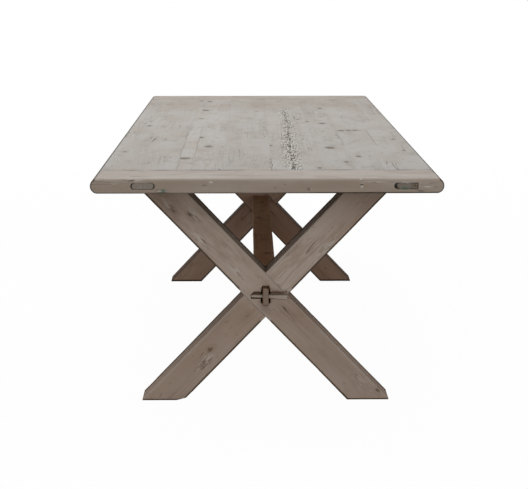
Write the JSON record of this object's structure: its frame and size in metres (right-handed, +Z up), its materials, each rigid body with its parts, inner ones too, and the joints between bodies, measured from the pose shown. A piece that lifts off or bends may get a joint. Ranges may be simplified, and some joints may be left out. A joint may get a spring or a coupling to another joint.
{
  "type": "sawbuck table",
  "caption": "Long plank-topped dining table with breadboard ends, on crossed-beam trestles tied by a stretcher with keyed through tenons.",
  "frame": {"origin": "on the floor under the middle of the table", "axes": "+Z up, +Y along the table's length towards the rear end, +X across it to the right"},
  "size_m": [1.01, 2.5, 0.78],
  "materials": {
    "top_boards": "bare bleached old pine, dry, fine open grain",
    "end_boards": "bare old pine, worn round at the corners",
    "leg_beams": "bare old softwood beam, taupe, knotty, lighter on its worn edges",
    "stretcher_wood": "dark brown old softwood",
    "key_wood": "split hardwood, paler than the beams",
    "hidden_battens": "brown softwood, sawn",
    "steel": "dull steel"
  },
  "bodies": {
    "table": {"top_plank_1": "top_boards", "top_plank_2": "top_boards", "top_plank_3": "top_boards", "top_plank_4": "top_boards", "top_plank_5": "top_boards", "top_plank_6": "top_boards", "end_board_front": "end_boards", "end_board_rear": "end_boards", "tenon_wedge_front": "end_boards", "tenon_wedge_rear": "end_boards", "patch_strip": "top_boards", "patch_board": "top_boards", "cleat_front": "hidden_battens", "cleat_rear": "hidden_battens", "middle_batten": "hidden_battens", "leg_front_left": "leg_beams", "leg_front_right": "leg_beams", "leg_rear_left": "leg_beams", "leg_rear_right": "leg_beams", "stretcher": "stretcher_wood", "plank_screws_front": "steel", "plank_screws_middle": "steel", "plank_screws_rear": "steel", "leg_bolts_front": "steel", "leg_bolts_rear": "steel"},
    "front_key": {"key_front": "key_wood"},
    "rear_key": {"key_rear": "key_wood"}
  },
  "joints": [
    {"name": "front_key_slide", "type": "slide", "parent": "table", "child": "front_key", "axis": [1, 0, 0], "range_m": [0, 0.055]},
    {"name": "rear_key_slide", "type": "slide", "parent": "table", "child": "rear_key", "axis": [-1, 0, 0], "range_m": [0, 0.055]}
  ]
}
